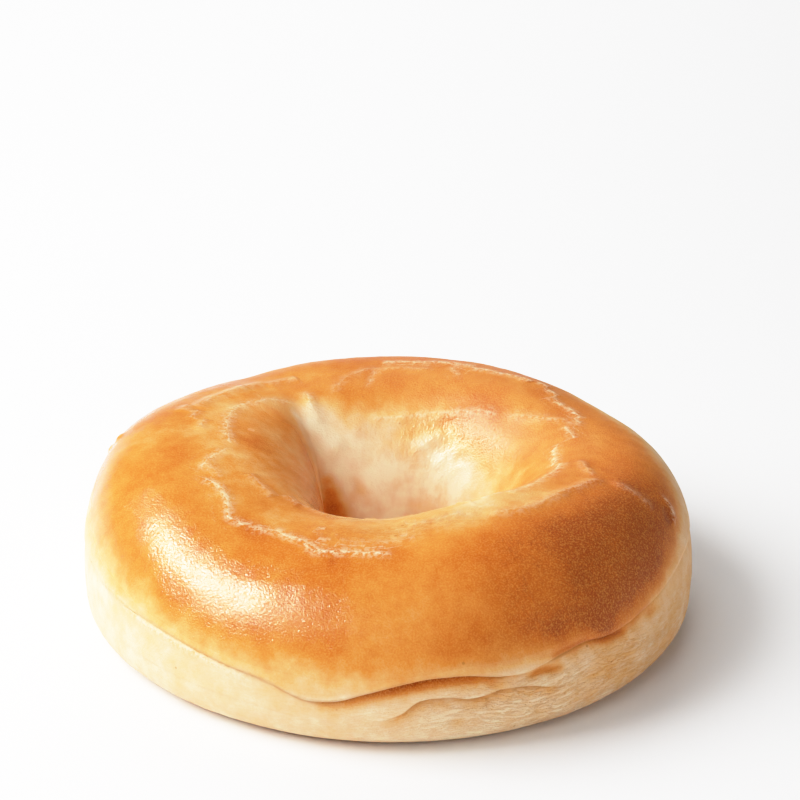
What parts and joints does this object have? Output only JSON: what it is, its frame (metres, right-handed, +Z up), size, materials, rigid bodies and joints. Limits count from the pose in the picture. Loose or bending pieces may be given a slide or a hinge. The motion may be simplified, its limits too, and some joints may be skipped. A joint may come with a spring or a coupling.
{
  "type": "bagel",
  "caption": "Plain baked ring of bread with a rounded, glossy browned top, pale creased sides, an off-centre hole and a flat base.",
  "frame": {"origin": "middle of the footprint, on the surface that the bagel lies on", "axes": "+Z up out of the flat base, -Y towards the front, which has the deepest folds, and -X towards the lapped end of the dough"},
  "size_m": [0.1112, 0.1084, 0.0352],
  "materials": {
    "crust": "glossy golden brown crust on top, running to matt cream on the sides and in the hole"
  },
  "bodies": {
    "root": {"bagel": "crust"}
  },
  "joints": []
}
